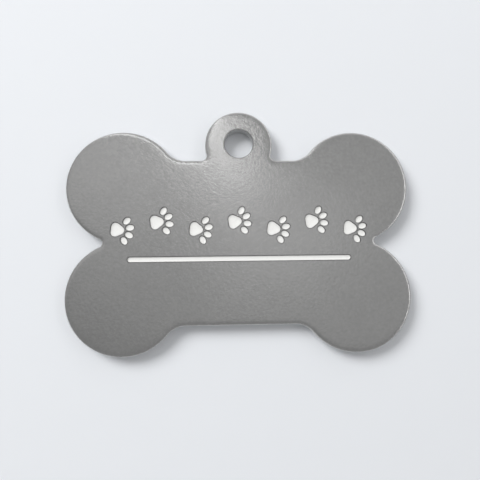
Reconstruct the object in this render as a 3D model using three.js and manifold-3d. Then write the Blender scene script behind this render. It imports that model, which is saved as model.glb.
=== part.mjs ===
// Bone-shaped pet tag: a stamped plate with a pierced ear at the top, lying on its back.
// A trail of paw prints with a line under it is cut into the front and filled with white enamel.
// Millimetres, +Z out of the front, +Y towards the ear. The origin is the bone's middle, on the back face.

import * as THREE from 'three';
import { mergeVertices } from 'three/addons/utils/BufferGeometryUtils.js';
import Module from 'manifold-3d';

// Plate
const PLATE_THICKNESS = 1.5;
const EDGE_ROUND = 0.4; // tumbled edge, all round the outline, front and back
const LOBE_RADIUS = 6.24;
const LOBE_OVERLAP = 0.28; // how far the two lobes of one end run into each other
const NOTCH_FILLET = 0.45; // between the two lobes of one end
const WAIST_LENGTH = 12; // straight stretch of the lower waist edge
const WAIST_STEP = 3.2; // from the crests of the lobes in to the waist edge
const WAIST_FILLET = 2.6; // from the waist edge into the lobes

// Ear
const EAR_RADIUS = 3.77;
const EAR_RISE = 1.76; // from the waist edge up to the ear's centre
const EAR_FILLET = 0.6; // from the waist edge into the ear
const HOLE_DIAMETER = 3.2;
const HOLE_RISE = 0.15; // from the ear's centre up to the hole's
const HOLE_CHAMFER = 0.15; // on the hole's rims, front and back

// Enamel and its pockets
const POCKET_DEPTH = 0.35;
const FILL_CLEARANCE = 0.03; // from the enamel to the walls and the floor of its pocket
const FILL_DIP = 0.03; // how far the enamel's face lies below the plate's
const ROW_SPACING = 3.7; // from the trail's centre line to the line under it

// Trail of paw prints, walking towards +X
const PRINT_COUNT = 7;
const TRAIL_MARGIN = 0.9; // from the end of the trail to the notch between the lobes
const STRIDE_WIDTH = 0.8; // between the left and the right prints, across the trail
const TOE_OUT = THREE.MathUtils.degToRad(8); // how far a print turns away from the trail
const HEEL_RADIUS = 0.72;
const HEEL_BULGE = 0.09; // how far the heel pad's three corners stand out of its round
const TOE_COUNT = 4;
const TOE_LENGTH = 0.88;
const TOE_WIDTH = 0.62;
const PAD_GAP = 0.2; // metal between neighbouring pads

// Line under the trail
const LINE_WIDTH = 0.5;
const LINE_MARGIN = 2.8; // from the end of the line to the notch between the lobes

// Fineness of the facets
const ARC_TOLERANCE = 0.012; // how far a facet may lie inside its arc
const EDGE_FACETS = 3; // across the tumbled edge
const PAD_FACETS = 16; // round a toe pad and the line's two ends
const HEEL_FACETS = 24; // round a heel pad
const CUT_MARGIN = 0.5; // how far a cutter stands out of the plate

const wasm = await Module();
wasm.setup();

// Centres of the outline's arcs in its upper right quarter, each arc touching the next
const edgeRound = Math.min(EDGE_ROUND, PLATE_THICKNESS / 3);
const holeChamfer = Math.min(HOLE_CHAMFER, PLATE_THICKNESS / 3);
const lobeY = LOBE_RADIUS - LOBE_OVERLAP / 2;
const waistY = lobeY + LOBE_RADIUS - WAIST_STEP;
const waistFilletX = WAIST_LENGTH / 2;
const waistFilletY = waistY + WAIST_FILLET;
const lobeX = waistFilletX + legLength(LOBE_RADIUS + WAIST_FILLET, waistFilletY - lobeY);
const notchX = lobeX + legLength(LOBE_RADIUS + NOTCH_FILLET, lobeY);
const earY = waistY + EAR_RISE;
const earFilletY = waistY + EAR_FILLET;
const earFilletX = legLength(EAR_RADIUS + EAR_FILLET, earFilletY - earY);
const holeY = earY + HOLE_RISE;

// Depths and lengths of the enamel, taken from the plate
const notchFloorX = notchX - NOTCH_FILLET;
const fillFloor = PLATE_THICKNESS - POCKET_DEPTH + FILL_CLEARANCE;
const fillHeight = POCKET_DEPTH - FILL_CLEARANCE - FILL_DIP;
const trailHalfLength = notchFloorX - TRAIL_MARGIN;
const lineHalfLength = notchFloorX - LINE_MARGIN;

// The other leg of a right triangle
function legLength(hypotenuse, leg) {
  return Math.sqrt(hypotenuse ** 2 - leg ** 2);
}

// How many facets an arc takes, as few as the tolerance allows
function facetCount(radius, turn) {
  return Math.ceil(Math.abs(turn) / (2 * Math.acos(1 - ARC_TOLERANCE / radius)));
}

// Points along an arc, from one angle to the other
function arcPoints(x, y, radius, from, to) {
  const count = facetCount(radius, to - from);
  return new THREE.EllipseCurve(x, y, radius, radius, from, to, to < from).getPoints(count);
}

// The tag's outline: its right half from the ear's top down to the lower waist edge, then the mirrored left half
function plateShape() {
  const quarter = Math.PI / 2;
  const earAngle = Math.atan2(earFilletY - earY, earFilletX);
  const waistAngle = Math.atan2(lobeY - waistFilletY, lobeX - waistFilletX);
  const notchAngle = Math.atan2(-lobeY, notchX - lobeX);
  const rightHalf = [
    arcPoints(0, earY, EAR_RADIUS, quarter, earAngle),
    arcPoints(earFilletX, earFilletY, EAR_FILLET, earAngle + Math.PI, 3 * quarter),
    arcPoints(waistFilletX, waistFilletY, WAIST_FILLET, -quarter, waistAngle),
    arcPoints(lobeX, lobeY, LOBE_RADIUS, waistAngle + Math.PI, notchAngle),
    arcPoints(notchX, 0, NOTCH_FILLET, notchAngle + Math.PI, Math.PI - notchAngle),
    arcPoints(lobeX, -lobeY, LOBE_RADIUS, -notchAngle, -waistAngle - Math.PI),
    arcPoints(waistFilletX, -waistFilletY, WAIST_FILLET, -waistAngle, quarter),
  ].flat();
  const leftHalf = rightHalf.map((point) => new THREE.Vector2(-point.x, point.y)).reverse();
  return new THREE.Shape([...rightHalf, ...leftHalf]);
}

// The blank, with its edges rounded inside the outline
function blankGeometry() {
  const geometry = new THREE.ExtrudeGeometry(plateShape(), {
    depth: PLATE_THICKNESS - 2 * edgeRound,
    bevelThickness: edgeRound,
    bevelSize: edgeRound,
    bevelOffset: -edgeRound,
    bevelSegments: EDGE_FACETS,
  });
  return geometry.translate(0, 0, edgeRound);
}

// Heel pad: a round with three soft corners, one of them towards the toes
function heelShape(grow) {
  const points = [];
  for (let i = 0; i < HEEL_FACETS; i += 1) {
    const angle = (2 * Math.PI * i) / HEEL_FACETS;
    const reach = HEEL_RADIUS + HEEL_BULGE * Math.cos(3 * angle) + grow;
    points.push(new THREE.Vector2(reach * Math.cos(angle), reach * Math.sin(angle)));
  }
  return new THREE.Shape(points);
}

// Toe pad: an ellipse along the toe
function toeShape(grow) {
  const shape = new THREE.Shape();
  shape.absellipse(0, 0, TOE_LENGTH / 2 + grow, TOE_WIDTH / 2 + grow, 0, 2 * Math.PI);
  return shape;
}

// Line: a straight stroke with round ends
function lineShape(grow) {
  const endX = lineHalfLength - LINE_WIDTH / 2;
  const radius = LINE_WIDTH / 2 + grow;
  const shape = new THREE.Shape();
  shape.absarc(endX, 0, radius, -Math.PI / 2, Math.PI / 2);
  shape.absarc(-endX, 0, radius, Math.PI / 2, (3 * Math.PI) / 2);
  return shape;
}

// A flat slab of the given outline, standing on z = 0
function slab(shape, height) {
  return new THREE.ExtrudeGeometry(shape, {
    depth: height,
    bevelEnabled: false,
    curveSegments: PAD_FACETS / 2,
  });
}

function solidOf(geometry) {
  geometry.deleteAttribute('normal');
  geometry.deleteAttribute('uv');
  const merged = mergeVertices(geometry);
  const vertProperties = new Float32Array(merged.attributes.position.array);
  const triVerts = new Uint32Array(merged.index.array);
  return new wasm.Manifold(new wasm.Mesh({ numProp: 3, vertProperties, triVerts }));
}

function geometryOf(solid) {
  const { vertProperties, triVerts } = solid.getMesh();
  const geometry = new THREE.BufferGeometry();
  geometry.setAttribute('position', new THREE.BufferAttribute(vertProperties, 3));
  geometry.setIndex(new THREE.BufferAttribute(triVerts, 1));
  geometry.computeVertexNormals();
  return geometry;
}

// A round cutter through the ear, from one height to another, straight or as a cone
function holeCutter(lowZ, highZ, lowRadius, highRadius) {
  const facets = facetCount(HOLE_DIAMETER / 2, 2 * Math.PI);
  const cutter = new THREE.CylinderGeometry(highRadius, lowRadius, highZ - lowZ, facets);
  cutter.rotateX(Math.PI / 2);
  return solidOf(cutter.translate(0, holeY, (lowZ + highZ) / 2));
}

// The hole's pin and the two cones that chamfer its rims
function holeSolids() {
  const radius = HOLE_DIAMETER / 2;
  const wide = radius + holeChamfer + CUT_MARGIN;
  const top = PLATE_THICKNESS;
  return [
    holeCutter(-CUT_MARGIN, top + CUT_MARGIN, radius, radius),
    holeCutter(top - holeChamfer, top + CUT_MARGIN, radius, wide),
    holeCutter(-CUT_MARGIN, holeChamfer, wide, radius),
  ];
}

// Every dab of enamel, with the function that draws its outline, so that its pocket can be cut to match
const fills = [];

function addFill(parent, name, shape, x, y, turn) {
  const enamel = new THREE.MeshStandardMaterial({ color: 0xf0f0ec, roughness: 0.35, metalness: 0 });
  const mesh = new THREE.Mesh(slab(shape(0), fillHeight), enamel);
  mesh.name = name;
  mesh.position.set(x, y, fillFloor);
  mesh.rotation.z = turn;
  parent.add(mesh);
  fills.push({ mesh, shape });
}

// One paw print, its heel pad on the group's origin and its toes spread about +X
function pawPrint(name) {
  const print = new THREE.Group();
  addFill(print, `${name}_heel_pad`, heelShape, 0, 0, 0);
  const spread = 2 * Math.asin((TOE_WIDTH + PAD_GAP) / (2 * toeReach));
  for (let i = 0; i < TOE_COUNT; i += 1) {
    const angle = (i - (TOE_COUNT - 1) / 2) * spread;
    const x = toeReach * Math.cos(angle);
    const y = toeReach * Math.sin(angle);
    addFill(print, `${name}_toe_pad_${i + 1}`, toeShape, x, y, angle);
  }
  return print;
}

// The pocket that one dab of enamel sits in, in the tag's frame
function pocketSolid({ mesh, shape }) {
  const cutter = slab(shape(FILL_CLEARANCE), POCKET_DEPTH + CUT_MARGIN);
  cutter.translate(0, 0, -FILL_CLEARANCE);
  return solidOf(cutter.applyMatrix4(mesh.matrixWorld));
}

const tag = new THREE.Group();

// Trail: right and left prints in turn, from one end of the row to the other
const toeReach = HEEL_RADIUS + HEEL_BULGE + PAD_GAP + TOE_LENGTH / 2;
const firstPrintX = HEEL_RADIUS - trailHalfLength;
const lastPrintX = trailHalfLength - toeReach - TOE_LENGTH / 2;
for (let i = 0; i < PRINT_COUNT; i += 1) {
  const side = i % 2 === 0 ? -1 : 1;
  const print = pawPrint(`print_${i + 1}`);
  print.position.x = THREE.MathUtils.lerp(firstPrintX, lastPrintX, i / (PRINT_COUNT - 1));
  print.position.y = ROW_SPACING / 2 + (side * STRIDE_WIDTH) / 2;
  print.rotation.z = side * TOE_OUT;
  tag.add(print);
}

addFill(tag, 'line', lineShape, 0, -ROW_SPACING / 2, 0);

// Plate: the blank with the hole and a pocket for every dab of enamel cut out of it
tag.updateMatrixWorld(true);
const cutters = [...holeSolids(), ...fills.map(pocketSolid)];
const plateSolid = cutters.reduce((solid, cutter) => solid.subtract(cutter), solidOf(blankGeometry()));
const steel = new THREE.MeshStandardMaterial({ color: 0x9b9b99, roughness: 0.45, metalness: 1 });
const plate = new THREE.Mesh(geometryOf(plateSolid), steel);
plate.name = 'tag_plate';
tag.add(plate);

export default tag;
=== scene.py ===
"""Bone-shaped pet tag: tumbled steel with a trail of white enamel paw prints, lying on a pale table."""

import math

import bmesh
import bpy
from mathutils import Euler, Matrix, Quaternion, Vector


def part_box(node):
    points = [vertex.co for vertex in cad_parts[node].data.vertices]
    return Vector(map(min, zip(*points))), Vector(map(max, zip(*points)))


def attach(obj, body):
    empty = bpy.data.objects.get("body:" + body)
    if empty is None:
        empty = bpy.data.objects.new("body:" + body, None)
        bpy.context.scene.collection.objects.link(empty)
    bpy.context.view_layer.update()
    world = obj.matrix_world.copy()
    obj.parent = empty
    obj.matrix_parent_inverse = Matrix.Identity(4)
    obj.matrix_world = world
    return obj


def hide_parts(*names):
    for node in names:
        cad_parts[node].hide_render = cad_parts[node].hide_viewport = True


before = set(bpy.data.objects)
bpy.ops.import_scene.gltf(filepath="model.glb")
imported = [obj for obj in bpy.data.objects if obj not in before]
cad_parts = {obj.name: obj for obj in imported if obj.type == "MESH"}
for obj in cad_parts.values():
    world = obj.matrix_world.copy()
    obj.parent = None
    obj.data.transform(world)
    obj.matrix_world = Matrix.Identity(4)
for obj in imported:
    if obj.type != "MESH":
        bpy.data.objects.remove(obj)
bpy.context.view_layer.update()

MM = 0.001
QUARTER = math.pi / 2

# Plate, in the sizes of its solid
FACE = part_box("tag_plate")[1].z  # height of the front face
EDGE_ROUND = 0.4 * MM
LOBE_RADIUS = 6.24 * MM
LOBE_OVERLAP = 0.28 * MM
NOTCH_FILLET = 0.45 * MM
WAIST_LENGTH = 12 * MM
WAIST_STEP = 3.2 * MM
WAIST_FILLET = 2.6 * MM
EAR_RADIUS = 3.77 * MM
EAR_RISE = 1.76 * MM
EAR_FILLET = 0.6 * MM
HOLE_RADIUS = 1.6 * MM
HOLE_RISE = 0.15 * MM
HOLE_ROUND = 0.15 * MM

# Enamel rows and their pockets, in the sizes of their solids
POCKET_DEPTH = 0.35 * MM
FILL_CLEARANCE = 0.03 * MM
ROW_SPACING = 3.7 * MM
PRINT_COUNT = 7
TRAIL_MARGIN = 0.9 * MM
STRIDE_WIDTH = 0.8 * MM
TOE_OUT = math.radians(8)
HEEL_RADIUS = 0.72 * MM
HEEL_BULGE = 0.09 * MM
TOE_COUNT = 4
TOE_LENGTH = 0.88 * MM
TOE_WIDTH = 0.62 * MM
PAD_GAP = 0.2 * MM
LINE_WIDTH = 0.5 * MM
LINE_MARGIN = 2.8 * MM

# Fineness and small forms that only the looks have
CHORD = 0.09 * MM  # length of a facet along an arc
PAD_CHORD = CHORD / 2  # length of a facet round a pad
FEWEST_FACETS = 4  # on a short arc
EDGE_ROLL = 0.95 * MM  # how far the tumbled edge rolls into the face
EDGE_POWER = 5  # 2 would roll like an ellipse, more starts softer and turns sharper
HOLE_POWER = 2  # the same for the rim of the hole
EDGE_RINGS = 12  # across a rolled edge, from the side to the face
EDGE_SHY = 0.005 * MM  # the smooth outline keeps this far inside the solid's
LIP_WIDTH = 0.05 * MM  # how far a pocket's lip opens beyond its outline
TAPER_DEPTH = 0.09 * MM  # depth at which the tapered wall of a pocket meets the enamel
TAPER_FOOT = 0.02 * MM  # how far the wall's foot stands inside the pocket's outline
ENAMEL_GAP = 0.004 * MM  # hairline between the enamel and its pocket
CREASE = 0.004 * MM  # width of the ring over which a sharp corner turns
MENISCUS_DEPTH = 0.045 * MM  # how far the enamel sinks from its border to its middle
MENISCUS_REACH = 0.75  # share of the half width over which it sinks
MENISCUS_RINGS = 6

# Arc centres of the outline, each arc touching the next
lobe_y = LOBE_RADIUS - LOBE_OVERLAP / 2
waist_y = lobe_y + LOBE_RADIUS - WAIST_STEP
waist_fillet = Vector((WAIST_LENGTH / 2, waist_y + WAIST_FILLET))
lobe_x = waist_fillet.x + math.sqrt((LOBE_RADIUS + WAIST_FILLET) ** 2 - (waist_fillet.y - lobe_y) ** 2)
notch_x = lobe_x + math.sqrt((LOBE_RADIUS + NOTCH_FILLET) ** 2 - lobe_y**2)
ear_y = waist_y + EAR_RISE
ear_fillet_y = waist_y + EAR_FILLET
ear_fillet_x = math.sqrt((EAR_RADIUS + EAR_FILLET) ** 2 - (ear_fillet_y - ear_y) ** 2)
hole_y = ear_y + HOLE_RISE
notch_floor_x = notch_x - NOTCH_FILLET


# Outlines: closed lists of points, each with the direction that points out of the material


def arc(centre, radius, start, end, out=1):
    """Points from one angle to the other; out is -1 where the arc is hollow."""
    steps = max(FEWEST_FACETS, math.ceil(abs(end - start) * radius / CHORD))
    outline = []
    for i in range(steps + 1):
        angle = start + (end - start) * i / steps
        away = Vector((math.cos(angle), math.sin(angle)))
        outline.append((Vector(centre) + away * radius, away * out))
    return outline


def tag_outline():
    """The bone with its ear, anticlockwise: the right half from the lower waist up, then its mirror."""
    ear_angle = math.atan2(ear_fillet_y - ear_y, ear_fillet_x)
    waist_angle = math.atan2(lobe_y - waist_fillet.y, lobe_x - waist_fillet.x)
    notch_angle = math.atan2(-lobe_y, notch_x - lobe_x)
    right = [
        *arc((waist_fillet.x, -waist_fillet.y), WAIST_FILLET, QUARTER, -waist_angle, -1),
        *arc((lobe_x, -lobe_y), LOBE_RADIUS, -waist_angle - math.pi, -notch_angle)[1:],
        *arc((notch_x, 0), NOTCH_FILLET, math.pi - notch_angle, notch_angle + math.pi, -1)[1:],
        *arc((lobe_x, lobe_y), LOBE_RADIUS, notch_angle, waist_angle + math.pi)[1:],
        *arc(waist_fillet, WAIST_FILLET, waist_angle, -QUARTER, -1)[1:],
        *arc((ear_fillet_x, ear_fillet_y), EAR_FILLET, 3 * QUARTER, ear_angle + math.pi, -1),
        *arc((0, ear_y), EAR_RADIUS, ear_angle, QUARTER)[1:],
    ]
    mirrored = [(Vector((-p.x, p.y)), Vector((-d.x, d.y))) for p, d in reversed(right[:-1])]
    return right + mirrored


def smooth_outline(points):
    """A closed anticlockwise curve of points, with directions from each point's neighbours."""
    outline = []
    for i, point in enumerate(points):
        along = points[(i + 1) % len(points)] - points[i - 1]
        outline.append((point, Vector((along.y, -along.x)).normalized()))
    return outline


def turned(outline, turn, x, y):
    """An outline turned about the origin, then moved."""
    cos, sin = math.cos(turn), math.sin(turn)

    def spin(v):
        return Vector((cos * v.x - sin * v.y, sin * v.x + cos * v.y))

    return [(spin(point) + Vector((x, y)), spin(away)) for point, away in outline]


def grown(outline, margin):
    """An outline moved outwards by a margin."""
    return [(point + away * margin, away) for point, away in outline]


def hollow(outline):
    """The same line as the edge of an opening, run the other way."""
    return [(point, -away) for point, away in reversed(outline)]


def round_points(reach):
    """Points round the origin, at the distance that reach gives for each angle."""
    count = math.ceil(2 * math.pi * reach(0) / PAD_CHORD)
    angles = [2 * math.pi * i / count for i in range(count)]
    return [Vector((math.cos(a), math.sin(a))) * reach(a) for a in angles]


def heel_outline():
    """A round with three soft corners, one of them towards the toes."""
    return smooth_outline(round_points(lambda a: HEEL_RADIUS + HEEL_BULGE * math.cos(3 * a)))


def toe_outline():
    """An ellipse along the toe."""
    unit = round_points(lambda a: TOE_WIDTH / 2)
    return smooth_outline([Vector((p.x * TOE_LENGTH / TOE_WIDTH, p.y)) for p in unit])


def line_outline():
    """A straight stroke with round ends."""
    end_x = notch_floor_x - LINE_MARGIN - LINE_WIDTH / 2
    right = arc((end_x, 0), LINE_WIDTH / 2, -QUARTER, QUARTER)
    left = arc((-end_x, 0), LINE_WIDTH / 2, QUARTER, 3 * QUARTER)
    return right + left


def enamel_outlines():
    """Every dab of enamel by its node's name, with its outline in place and half its width."""
    toe_reach = HEEL_RADIUS + HEEL_BULGE + PAD_GAP + TOE_LENGTH / 2
    spread = 2 * math.asin((TOE_WIDTH + PAD_GAP) / (2 * toe_reach))
    half_trail = notch_floor_x - TRAIL_MARGIN
    first_x = HEEL_RADIUS - half_trail
    last_x = half_trail - toe_reach - TOE_LENGTH / 2
    dabs = {}
    for i in range(PRINT_COUNT):
        side = -1 if i % 2 == 0 else 1
        x = first_x + (last_x - first_x) * i / (PRINT_COUNT - 1)
        place = (side * TOE_OUT, x, ROW_SPACING / 2 + side * STRIDE_WIDTH / 2)
        dabs[f"print_{i + 1}_heel_pad"] = (turned(heel_outline(), *place), HEEL_RADIUS)
        for j in range(TOE_COUNT):
            angle = (j - (TOE_COUNT - 1) / 2) * spread
            toe = turned(toe_outline(), angle, toe_reach * math.cos(angle), toe_reach * math.sin(angle))
            dabs[f"print_{i + 1}_toe_pad_{j + 1}"] = (turned(toe, *place), TOE_WIDTH / 2)
    dabs["line"] = (turned(line_outline(), 0, 0, -ROW_SPACING / 2), LINE_WIDTH / 2)
    return dabs


# Meshes, built ring by ring with the true normal of every point


class Skin:
    """A closed skin of rings. Its mask is a number on every point that the finish reads."""

    def __init__(self, mask):
        self.bm = bmesh.new()
        self.mask = self.bm.verts.layers.float.new(mask)
        self.normals = []

    def ring(self, outline, inset, height, tilt, mask):
        """A closed ring, moved into the material; tilt is 0 facing sideways, a quarter turn facing up."""
        verts = []
        for point, away in outline:
            spot = point - away * inset
            vert = self.bm.verts.new((spot.x, spot.y, height))
            vert[self.mask] = mask
            verts.append(vert)
            self.normals.append((away.x * math.cos(tilt), away.y * math.cos(tilt), math.sin(tilt)))
        return verts

    def wall(self, outline, stations):
        """Rings at stations of inset, height, tilt and mask, joined by faces; gives the two end rings."""
        rings = [self.ring(outline, *station) for station in stations]
        for below, above in zip(rings, rings[1:]):
            for i in range(len(below)):
                self.bm.faces.new((below[i - 1], below[i], above[i], above[i - 1]))
        return rings[0], rings[-1]

    def cap(self, *rings):
        """A flat face inside the first ring and outside the others."""
        edges = []
        for ring in rings:
            edges += [self.bm.edges.get((ring[i - 1], ring[i])) for i in range(len(ring))]
        bmesh.ops.triangle_fill(self.bm, edges=edges, use_beauty=True)

    def piece(self, name, node, finish):
        """The skin as a piece that stands for a node of the tag."""
        bmesh.ops.recalc_face_normals(self.bm, faces=self.bm.faces)
        mesh = bpy.data.meshes.new(name)
        self.bm.to_mesh(mesh)
        self.bm.free()
        mesh.shade_smooth()
        mesh.normals_split_custom_set_from_vertices(self.normals)
        mesh.materials.append(finish)
        made = bpy.data.objects.new(name, mesh)
        bpy.context.scene.collection.objects.link(made)
        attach(made, "root")
        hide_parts(node)


def edge_stations(roll, depth, power):
    """Round an edge of the plate from the back face to the front: inset, height, tilt, and the mask that
    lightens the rim with rubbed wear and a painted highlight.
    """
    normal_power = 2 - 2 / power
    upper = []
    for i in range(EDGE_RINGS + 1):
        turn = QUARTER * i / EDGE_RINGS
        out = abs(math.cos(turn))
        up = math.sin(turn)
        inset = roll * (1 - out ** (2 / power))
        height = FACE - depth * (1 - up ** (2 / power))
        tilt = math.atan2(roll * up**normal_power, depth * out**normal_power)
        upper.append((inset, height, tilt, out))
    lower = [(inset, FACE - height, -tilt, wear_and_painted_light) for inset, height, tilt, wear_and_painted_light in reversed(upper)]
    return lower + upper


def pocket_stations():
    """From the face down a pocket's tapered wall, darkened with oxide and painted shade, to its floor:
    inset, height, tilt and the mask that darkens it.
    """
    slant = math.atan2(LIP_WIDTH + TAPER_FOOT, TAPER_DEPTH)
    foot = FACE - TAPER_DEPTH
    floor = FACE - POCKET_DEPTH
    return [
        (LIP_WIDTH + CREASE, FACE, QUARTER, 0),
        (LIP_WIDTH, FACE, slant, -1),
        (-TAPER_FOOT, foot, slant, -1),
        (-TAPER_FOOT, foot - CREASE, 0, -1),
        (-TAPER_FOOT, floor, 0, -1),
        (-TAPER_FOOT - CREASE, floor, QUARTER, -1),
    ]


def enamel_stations(half_width):
    """From the pocket's floor up the enamel's side and over its face: inset, height, tilt and rim."""
    bottom = FACE - POCKET_DEPTH + ENAMEL_GAP
    border = FACE - TAPER_DEPTH
    reach = MENISCUS_REACH * half_width
    stations = [(CREASE, bottom, -QUARTER, 1), (0, bottom, 0, 1), (0, border - CREASE, 0, 1)]
    for i in range(MENISCUS_RINGS + 1):
        way = i / MENISCUS_RINGS
        slope = 2 * MENISCUS_DEPTH / reach * (1 - way)
        height = border - MENISCUS_DEPTH * (1 - (1 - way) ** 2)
        stations.append((reach * way, height, QUARTER + math.atan(slope), 1 - way))
    return stations


def make_plate(dabs, finish):
    """The plate with its rolled edge, its hole and a pocket for every dab of enamel."""
    # Its mask lightens the rims with rubbed wear and a painted highlight, and darkens the pocket walls
    # with oxide and painted shade.
    skin = Skin("wear_and_painted_light")
    edge = edge_stations(EDGE_ROLL, EDGE_ROUND, EDGE_POWER)
    back, front = skin.wall(grown(tag_outline(), -EDGE_SHY), edge)
    hole = hollow(arc((0, hole_y), HOLE_RADIUS, 0, 2 * math.pi)[:-1])
    hole_back, hole_front = skin.wall(hole, edge_stations(HOLE_ROUND, HOLE_ROUND, HOLE_POWER))
    lips = []
    for outline, _ in dabs.values():
        lip, floor = skin.wall(hollow(grown(outline, FILL_CLEARANCE)), pocket_stations())
        lips.append(lip)
        skin.bm.faces.new(floor)
    skin.cap(front, hole_front, *lips)
    skin.cap(back, hole_back)
    skin.piece("steel_plate", "tag_plate", finish)


def make_enamel(node, outline, half_width, finish):
    """One dab of enamel in its pocket."""
    skin = Skin("rim")
    side = grown(outline, FILL_CLEARANCE - TAPER_FOOT - ENAMEL_GAP)
    bottom, middle = skin.wall(side, enamel_stations(half_width))
    skin.bm.faces.new(bottom)
    skin.bm.faces.new(middle)
    skin.piece(f"enamel_{node}", node, finish)


# Finishes

# Steel
GRAIN_SIZE = 0.27 * MM
GRAIN_DEPTH = 0.013 * MM
CLOUD_SIZE = 4 * MM
STEEL_DARK = (0.30, 0.30, 0.298)
STEEL_BRIGHT = (0.70, 0.70, 0.695)
# Pocket walls: oxide with painted shade.
POCKET_OXIDE_AND_SHADE = (0.16, 0.16, 0.16)
MIDDLE_TONE = 0.5  # from dark to bright
GRAIN_TONE = 0.25
CLOUD_TONE = 0.15
# Rubbed wear and a painted highlight make the rims of the plate and of the hole lighter.
RUBBED_AND_PAINTED_HIGHLIGHT_TONE = 0.5  # added along the rims
FACE_ROUGHNESS = 0.2
GRAIN_ROUGHNESS = 0.1
CLOUD_ROUGHNESS = 0.04
SIDE_ROUGHNESS = 0.25  # added where the side is cut

# Enamel
SPECKLE_SIZE = 0.12 * MM
SWIRL_SIZE = 0.7 * MM
SWIRL_DEPTH = 0.006 * MM
ENAMEL_FULL = (0.86, 0.86, 0.84)
# Grey of thin enamel, and of the painted shade at the border.
ENAMEL_THIN_AND_SHADED = (0.58, 0.58, 0.57)
# Painted shade at the enamel's border, where it meets the pocket wall.
RIM_PAINTED_SHADE = 0.4
SPECKLE_THINNESS = 0.2
SWIRL_THINNESS = 0.25
ENAMEL_ROUGHNESS = 0.3
SWIRL_ROUGHNESS = 0.15
SPECKLE_ROUGHNESS = 0.1
SPECKLE_HEIGHT = 0.3  # beside the swirl's

# Table
MOTTLE_SIZE = 3 * MM
TABLE_DARK = (0.77, 0.79, 0.82)
TABLE_BRIGHT = (0.80, 0.82, 0.85)
MOTTLE_TONE = 0.3
TABLE_ROUGHNESS = 0.8


class Wire:
    """One output in a node tree. Arithmetic on it adds Math nodes."""

    def __init__(self, nodes, socket):
        self.nodes = nodes
        self.socket = socket

    def maths(self, operation, first, second):
        return self.nodes.add("Math", {"operation": operation}, {0: first, 1: second})

    def __add__(self, other):
        return self.maths("ADD", self, other)

    def __sub__(self, other):
        return self.maths("SUBTRACT", self, other)

    def __rsub__(self, other):
        return self.maths("SUBTRACT", other, self)

    def __mul__(self, other):
        return self.maths("MULTIPLY", self, other)

    def __pow__(self, other):
        return self.maths("POWER", self, other)

    def __rpow__(self, other):
        return self.maths("POWER", other, self)

    __radd__ = __add__
    __rmul__ = __mul__


class Nodes:
    """The node tree of a finish or of the studio's surroundings."""

    def __init__(self, owner):
        owner.use_nodes = True
        self.tree = owner.node_tree
        self.tree.nodes.clear()

    def add(self, kind, settings=None, inputs=None, output=0):
        """A node of that kind: its settings first, then the values or wires of its inputs."""
        node = self.tree.nodes.new("ShaderNode" + kind)
        for name, value in (settings or {}).items():
            setattr(node, name, value)
        for name, value in (inputs or {}).items():
            if isinstance(value, Wire):
                self.tree.links.new(value.socket, node.inputs[name])
            else:
                node.inputs[name].default_value = value
        return Wire(self, node.outputs[output]) if node.outputs else None

    def noise(self, place, size, detail, seed):
        """Soft noise about 0, with features of that size in metres."""
        inputs = {"Vector": place, "W": seed, "Scale": 1 / size, "Detail": detail}
        return self.add("TexNoise", {"noise_dimensions": "4D"}, inputs) - 0.5

    def blend(self, share, first, second):
        """A colour between two others, each a wire or three numbers."""
        ends = [value if isinstance(value, Wire) else (*value, 1) for value in (first, second)]
        settings = {"data_type": "RGBA", "clamp_factor": True}
        # A Mix node of colours takes them at its inputs 6 and 7 and gives the blend at its output 2.
        return self.add("Mix", settings, {0: share, 6: ends[0], 7: ends[1]}, 2)


def satin_steel():
    """Tumbled steel: fine grain without direction, faint clouds, rims lightened by rubbed wear and a
    painted highlight, dull sides, pocket walls darkened by oxide and painted shade.
    """
    finish = bpy.data.materials.new("satin_steel")
    nodes = Nodes(finish)
    place = nodes.add("TexCoord", output="Object")
    grain = nodes.noise(place, GRAIN_SIZE, detail=2, seed=0)
    cloud = nodes.noise(place, CLOUD_SIZE, detail=3, seed=2)
    wear_and_painted_light = nodes.add("Attribute", {"attribute_name": "wear_and_painted_light"}, output="Fac")
    # Rims lighter: rubbed wear and a painted highlight.
    tone = MIDDLE_TONE + grain * GRAIN_TONE + cloud * CLOUD_TONE + wear_and_painted_light**3 * RUBBED_AND_PAINTED_HIGHLIGHT_TONE
    bare = nodes.blend(tone, STEEL_DARK, STEEL_BRIGHT)
    # Pocket walls dark: oxide and painted shade.
    colour = nodes.blend(wear_and_painted_light * -1, bare, POCKET_OXIDE_AND_SHADE)
    uneven = FACE_ROUGHNESS + grain * GRAIN_ROUGHNESS + cloud * CLOUD_ROUGHNESS
    roughness = uneven + wear_and_painted_light**4 * SIDE_ROUGHNESS
    bump = nodes.add("Bump", inputs={"Strength": 1.0, "Distance": GRAIN_DEPTH, "Height": grain})
    steel = nodes.add(
        "BsdfPrincipled",
        inputs={"Base Color": colour, "Metallic": 1.0, "Roughness": roughness, "Normal": bump},
    )
    nodes.add("OutputMaterial", inputs={"Surface": steel})
    return finish


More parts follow.
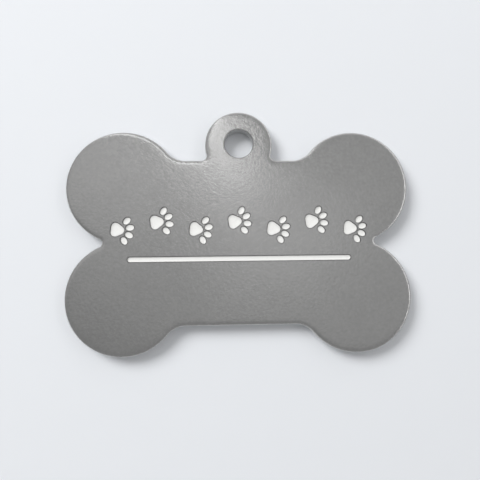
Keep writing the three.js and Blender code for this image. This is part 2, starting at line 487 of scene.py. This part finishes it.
def white_enamel():
    """Soft enamel, brushed in and wiped: a little uneven, and greyed by painted shade at its border."""
    finish = bpy.data.materials.new("white_enamel")
    nodes = Nodes(finish)
    place = nodes.add("TexCoord", output="Object")
    speckle = nodes.noise(place, SPECKLE_SIZE, detail=2, seed=5)
    swirl = nodes.noise(place, SWIRL_SIZE, detail=2, seed=7)
    rim = nodes.add("Attribute", {"attribute_name": "rim"}, output="Fac")
    # Painted shade greys the border; speckle and swirl leave the enamel unevenly thin.
    thin_and_shaded = rim**3 * RIM_PAINTED_SHADE + speckle * SPECKLE_THINNESS + swirl * SWIRL_THINNESS
    colour = nodes.blend(thin_and_shaded, ENAMEL_FULL, ENAMEL_THIN_AND_SHADED)
    roughness = ENAMEL_ROUGHNESS + swirl * SWIRL_ROUGHNESS + speckle * SPECKLE_ROUGHNESS
    height = swirl + speckle * SPECKLE_HEIGHT
    bump = nodes.add("Bump", inputs={"Strength": 1.0, "Distance": SWIRL_DEPTH, "Height": height})
    enamel = nodes.add(
        "BsdfPrincipled",
        inputs={"Base Color": colour, "Roughness": roughness, "Normal": bump},
    )
    nodes.add("OutputMaterial", inputs={"Surface": enamel})
    return finish


def pale_table():
    """Matt and pale, with faint mottling."""
    finish = bpy.data.materials.new("pale_table")
    nodes = Nodes(finish)
    place = nodes.add("TexCoord", output="Object")
    mottle = nodes.noise(place, MOTTLE_SIZE, detail=3, seed=9)
    colour = nodes.blend(MIDDLE_TONE + mottle * MOTTLE_TONE, TABLE_DARK, TABLE_BRIGHT)
    table = nodes.add("BsdfPrincipled", inputs={"Base Color": colour, "Roughness": TABLE_ROUGHNESS})
    nodes.add("OutputMaterial", inputs={"Surface": table})
    return finish


# Studio, in metres

TABLE_HALF = 2.0
TABLE_DROP = 0.01 * MM  # the table lies this far under the tag
VIEW_DISTANCE = 55 * MM
VIEW_TIP = math.radians(4.6)
VIEW_SWING = math.radians(-2.9)
VIEW_ROLL = math.radians(-0.57)
VIEW_TURN = Euler((VIEW_TIP, VIEW_SWING, VIEW_ROLL), "YXZ")
VIEW_CENTRE = Vector((0, 0.19 * MM, FACE))
FOCAL_PIXELS = 498
IMAGE_PIXELS = 480
SENSOR_WIDTH = 36  # millimetres, as the camera takes it
NEAREST_SEEN = 1 * MM
TAG = (0, 0, 0)
TUBE_LEAN = math.radians(32)
SKY_LIGHT = (0.338, 0.338, 0.338)
HORIZON_LIGHT = (0.265, 0.272, 0.282)
HORIZON_FADE = 3  # the sky is clear of the horizon's light at one part in this of the way up


def make_table():
    """A wide flat table just under the tag."""
    signs = ((-1, -1), (1, -1), (1, 1), (-1, 1))
    corners = [(x * TABLE_HALF, y * TABLE_HALF, -TABLE_DROP) for x, y in signs]
    mesh = bpy.data.meshes.new("table")
    mesh.from_pydata(corners, [], [(0, 1, 2, 3)])
    mesh.materials.append(pale_table())
    table = bpy.data.objects.new("table", mesh)
    bpy.context.scene.collection.objects.link(table)


def make_camera():
    """Looks down on the face from close by, a little from below and from the left."""
    data = bpy.data.cameras.new("camera")
    data.sensor_width = SENSOR_WIDTH
    data.lens = SENSOR_WIDTH * FOCAL_PIXELS / IMAGE_PIXELS
    data.clip_start = NEAREST_SEEN
    camera = bpy.data.objects.new("camera", data)
    camera.rotation_mode = "YXZ"
    camera.rotation_euler = VIEW_TURN
    camera.location = VIEW_CENTRE + VIEW_TURN.to_matrix() @ Vector((0, 0, VIEW_DISTANCE))
    bpy.context.scene.collection.objects.link(camera)
    bpy.context.scene.camera = camera


def add_softbox(name, place, width, height, radiance, aim=None, turn=0):
    """An oval softbox as bright as asked all over, facing the aim or else straight down."""
    data = bpy.data.lights.new(name, "AREA")
    data.shape = "ELLIPSE"
    data.size = width
    data.size_y = height
    data.energy = radiance * math.pi * math.pi * width * height / 4
    lamp = bpy.data.objects.new(name, data)
    lamp.location = place
    target = (place[0], place[1], 0) if aim is None else aim
    facing = (Vector(target) - Vector(place)).to_track_quat("-Z", "Y")
    lamp.rotation_euler = (facing @ Quaternion((0, 0, 1), turn)).to_euler()
    bpy.context.scene.collection.objects.link(lamp)
    return lamp


def make_lights():
    """Softboxes round the tag, in surroundings that dim towards the horizon."""
    # The key at the upper left casts the shadow and doesn't show in the steel.
    key = add_softbox("key_softbox", (-0.345, 0.285, 0.35), 0.30, 0.30, 12.4, TAG)
    key.visible_glossy = False
    # A panel, a leaning tube and two glows overhead give the face its gleam.
    # At one height they would hide one another.
    add_softbox("panel_softbox", (0.095, 0.39, 0.3), 0.91, 0.91, 0.135)
    add_softbox("tube_softbox", (-0.097, 0.25, 0.299), 0.031, 0.45, 2.2, turn=TUBE_LEAN)
    add_softbox("right_glow_softbox", (0.037, 0.036, 0.298), 0.12, 0.095, 0.18)
    add_softbox("left_glow_softbox", (-0.063, 0.078, 0.297), 0.105, 0.09, 0.17)
    # One on the left, one behind the ear and one on the right draw the bright lines along the edges.
    add_softbox("left_softbox", (-0.3, 0.17, 0.29), 0.48, 0.48, 0.115, TAG)
    add_softbox("strip_softbox", (0.08, 0.40, 0.195), 0.9, 0.33, 0.35, TAG)
    add_softbox("right_softbox", (0.36, 0.06, 0.35), 0.7, 0.07, 2.0, TAG)
    world = bpy.data.worlds.new("studio")
    bpy.context.scene.world = world
    nodes = Nodes(world)
    sight = nodes.add("TexCoord", output="Generated")
    rise = nodes.add("SeparateXYZ", inputs={"Vector": sight}, output="Z")
    colour = nodes.blend(rise * HORIZON_FADE, HORIZON_LIGHT, SKY_LIGHT)
    light = nodes.add("Background", inputs={"Color": colour, "Strength": 1.0})
    nodes.add("OutputWorld", inputs={"Surface": light})


make_camera()
enamel_dabs = enamel_outlines()
make_plate(enamel_dabs, satin_steel())
enamel_finish = white_enamel()
for node, (outline, half_width) in enamel_dabs.items():
    make_enamel(node, outline, half_width, enamel_finish)
make_table()
make_lights()
bpy.context.scene.view_settings.view_transform = "Standard"
